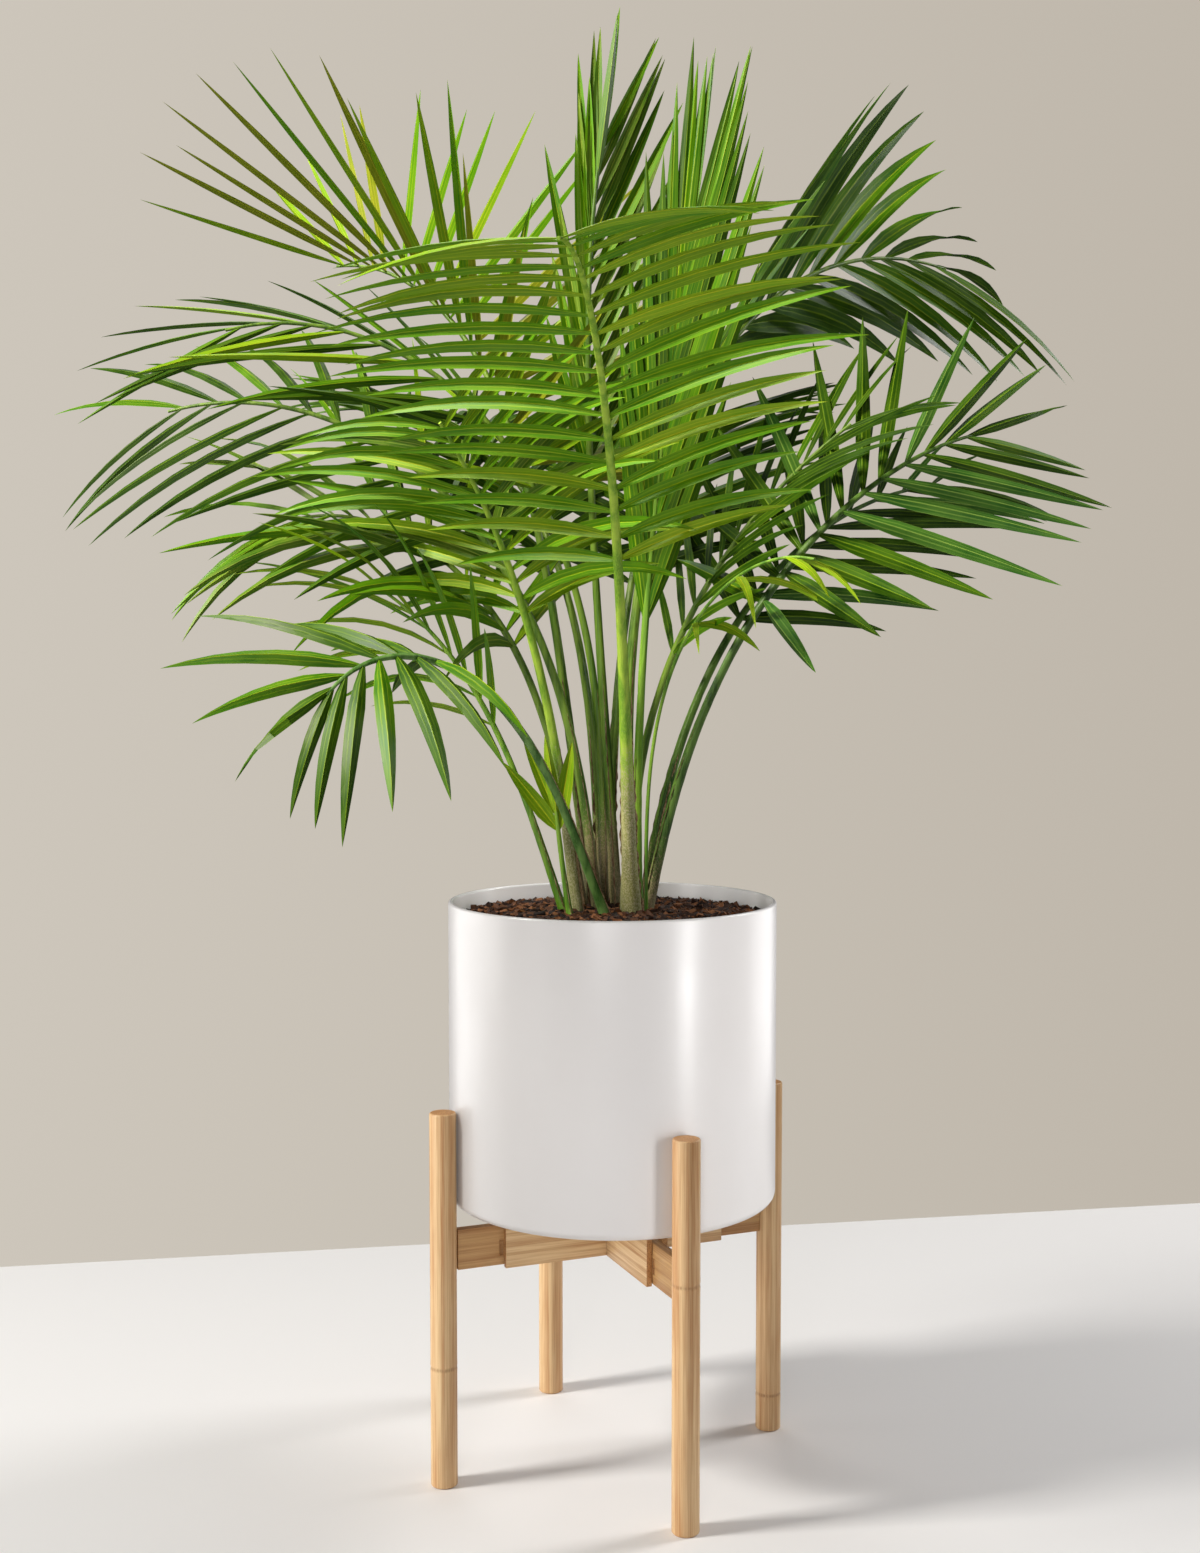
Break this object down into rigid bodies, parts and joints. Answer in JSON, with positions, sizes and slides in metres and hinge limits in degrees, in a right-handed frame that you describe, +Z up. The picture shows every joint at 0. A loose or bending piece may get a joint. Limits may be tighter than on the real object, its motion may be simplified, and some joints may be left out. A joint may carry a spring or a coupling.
{
  "type": "potted majesty palm",
  "caption": "Potted majesty palm with long arching feathered fronds, in a plain white cylinder pot with bark-topped soil, on a round-legged bamboo stand.",
  "frame": {"origin": "on the floor on the pot's axis, which is the middle of the plant's width and depth; the flat feet of the stand are at z = 0", "axes": "+Z up along the pot's axis, -Y towards the side that the picture shows, +X to the right in that view"},
  "size_m": [0.9497, 0.9817, 1.2169],
  "materials": {
    "pot_white": "satin white glaze",
    "bamboo": "clear satin on pale bamboo",
    "bark_soil": "rough dark bark chips and potting mix",
    "petiole": "satin green stalk with brown scurf at its foot",
    "frond_light": "satin yellow-green leaf",
    "frond_mid": "satin mid-green leaf",
    "frond_dark": "glossy dark green leaf",
    "frond_blue": "satin bluish green leaf"
  },
  "bodies": {
    "root": {"beam_front_back": "bamboo", "beam_left_right": "bamboo", "frond_backleft": "frond_mid", "frond_backright": "frond_dark", "frond_farleft": "frond_dark", "frond_farleft_tip": "frond_dark", "frond_front": "frond_mid", "frond_front_tip": "frond_mid", "frond_leftback": "frond_mid", "frond_leftback_tip": "frond_mid", "frond_leftfront": "frond_mid", "frond_leftmid": "frond_mid", "frond_leftmid_tip": "frond_mid", "frond_lowleft": "frond_light", "frond_right": "frond_blue", "frond_rightback": "frond_blue", "frond_rightmid": "frond_dark", "frond_spear": "frond_light", "frond_top": "frond_mid", "frond_upleft": "frond_light", "frond_upleft_tip": "frond_light", "frond_upright": "frond_dark", "frond_upright_tip": "frond_dark", "frond_youngleft": "frond_light", "frond_sprout": "frond_light", "frond_youngright": "frond_light", "frond_youngright_tip": "frond_light", "leg_back": "bamboo", "leg_front": "bamboo", "leg_left": "bamboo", "leg_right": "bamboo", "petiole_backleft": "petiole", "petiole_backright": "petiole", "petiole_farleft": "petiole", "petiole_front": "petiole", "petiole_leftback": "petiole", "petiole_leftfront": "petiole", "petiole_leftmid": "petiole", "petiole_lowleft": "petiole", "petiole_right": "petiole", "petiole_rightback": "petiole", "petiole_rightmid": "petiole", "petiole_spear": "petiole", "petiole_top": "petiole", "petiole_upleft": "petiole", "petiole_upright": "petiole", "petiole_youngleft": "petiole", "petiole_sprout": "petiole", "petiole_youngright": "petiole", "pot": "pot_white", "slat_back": "bamboo", "slat_front": "bamboo", "slat_left": "bamboo", "slat_right": "bamboo", "soil": "bark_soil"}
  },
  "joints": []
}
